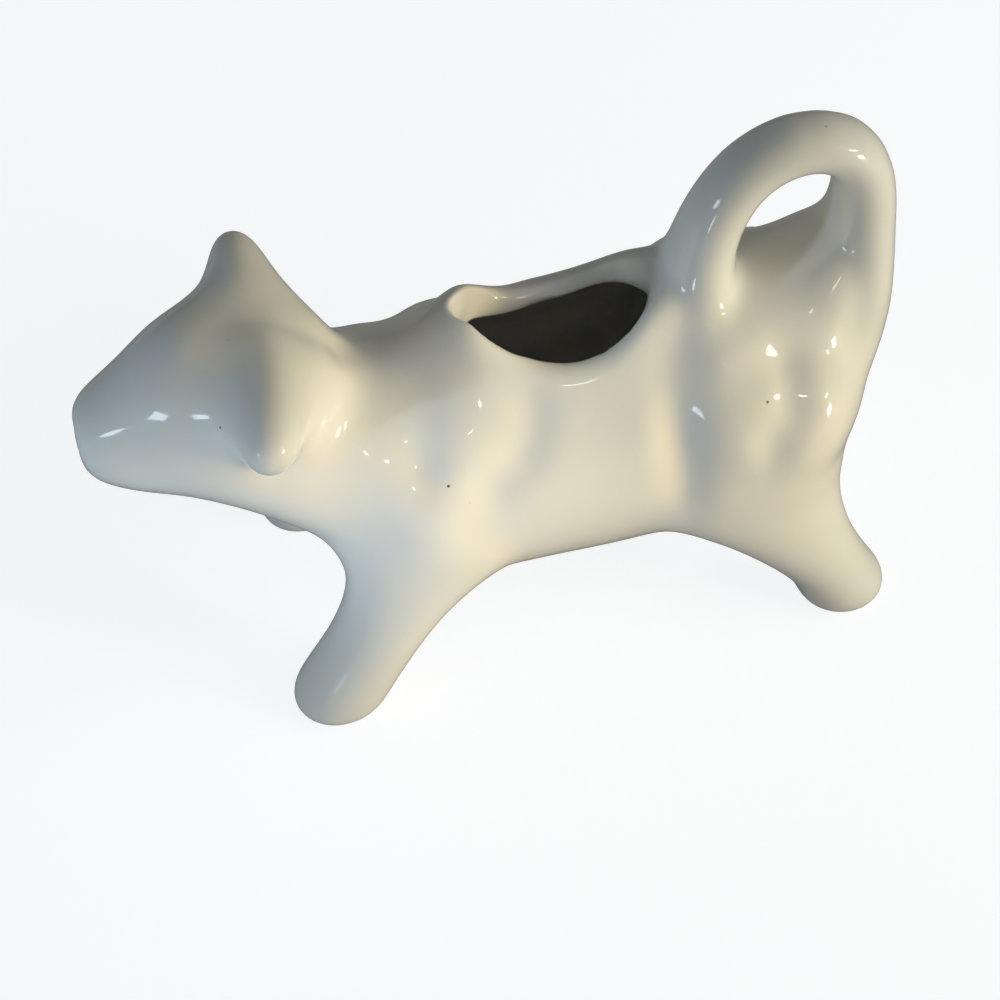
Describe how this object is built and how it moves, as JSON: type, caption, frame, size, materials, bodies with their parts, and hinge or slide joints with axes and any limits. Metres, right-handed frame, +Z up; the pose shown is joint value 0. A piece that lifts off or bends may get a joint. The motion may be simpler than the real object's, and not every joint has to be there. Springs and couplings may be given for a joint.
{
  "type": "cow creamer",
  "caption": "Small glazed porcelain cream jug shaped as a standing cow, filled through a saddle-shaped opening in its back and poured through its mouth, with the looped tail as handle",
  "frame": {"origin": "centre of the footprint of the bounding box, on the plane the feet stand on", "axes": "+X from head to tail, +Y toward the cow's right side, +Z up"},
  "size_m": [0.17, 0.076, 0.1108],
  "materials": {
    "glazed_porcelain": "white porcelain under a clear gloss glaze"
  },
  "bodies": {
    "root": {"body_shell": "glazed_porcelain", "left_ear": "glazed_porcelain", "right_ear": "glazed_porcelain", "tail_handle": "glazed_porcelain", "front_left_leg": "glazed_porcelain", "front_right_leg": "glazed_porcelain", "rear_left_leg": "glazed_porcelain", "rear_right_leg": "glazed_porcelain"}
  },
  "joints": []
}
